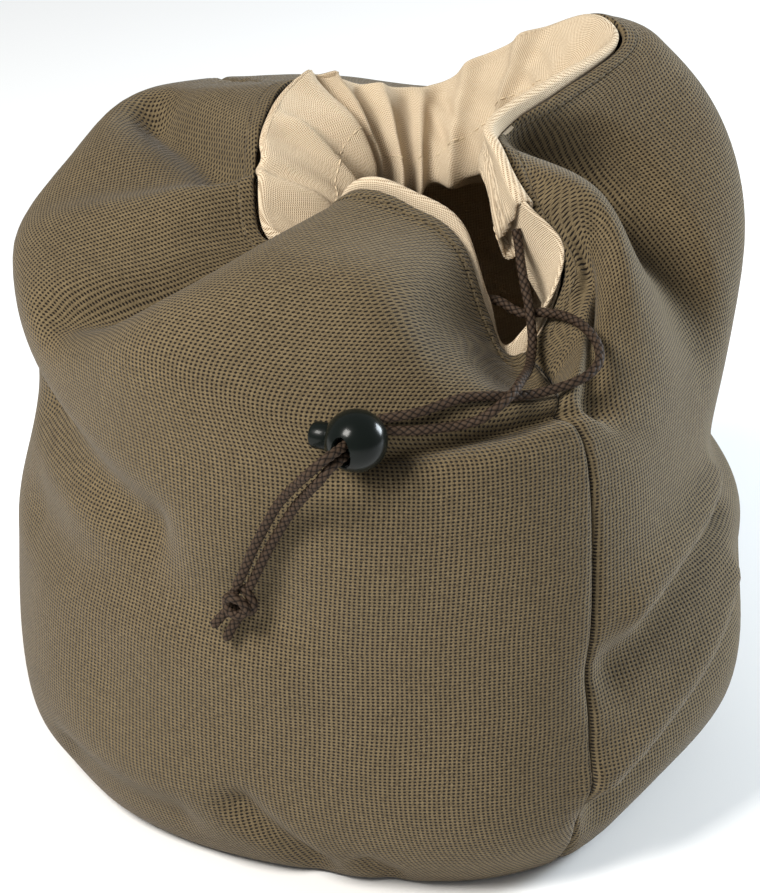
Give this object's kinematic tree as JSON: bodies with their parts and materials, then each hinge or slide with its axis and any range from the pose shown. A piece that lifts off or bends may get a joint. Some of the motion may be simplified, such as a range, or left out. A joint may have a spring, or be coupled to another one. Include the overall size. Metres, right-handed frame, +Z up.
{
  "type": "bread bag",
  "caption": "Round bread bag of coarse brown cloth with a cream lining, standing filled, its gathered mouth part open, drawn by a cord with a ball cord lock.",
  "frame": {"origin": "centre of the bag's bounding box in plan, on the floor plane, cords and cord lock left out", "axes": "+Z up; the viewer who sees the cord lock looks along +Y, with +X to the right"},
  "size_m": [0.2414, 0.2531, 0.2412],
  "materials": {
    "front_cloth": "coarse plain weave",
    "back_cloth": "coarse plain weave",
    "base_cloth": "coarse plain weave",
    "lining_cloth": "fine plain weave",
    "casing_cloth": "fine plain weave",
    "cord_upper_braid": "round braid",
    "cord_lower_braid": "round braid",
    "cord_end_upper_braid": "round braid",
    "cord_end_lower_braid": "round braid",
    "knot_braid": "round braid",
    "lock_ball_plastic": "moulded, glossy",
    "plunger_plastic": "moulded, satin"
  },
  "bodies": {
    "bag": {"front_panel": "front_cloth", "back_panel": "back_cloth", "base_panel": "base_cloth", "lining": "lining_cloth", "drawcord_casing": "casing_cloth", "cord_upper": "cord_upper_braid", "cord_lower": "cord_lower_braid", "cord_end_upper": "cord_end_upper_braid", "cord_end_lower": "cord_end_lower_braid", "cord_knot": "knot_braid", "lock_ball": "lock_ball_plastic"},
    "plunger": {"lock_plunger": "plunger_plastic"}
  },
  "joints": [
    {"name": "plunger_press", "type": "slide", "parent": "bag", "child": "plunger", "axis": [0.8615, -0.4964, 0.1069], "range_m": [0, 0.003], "stiffness_N_per_m": 300}
  ]
}
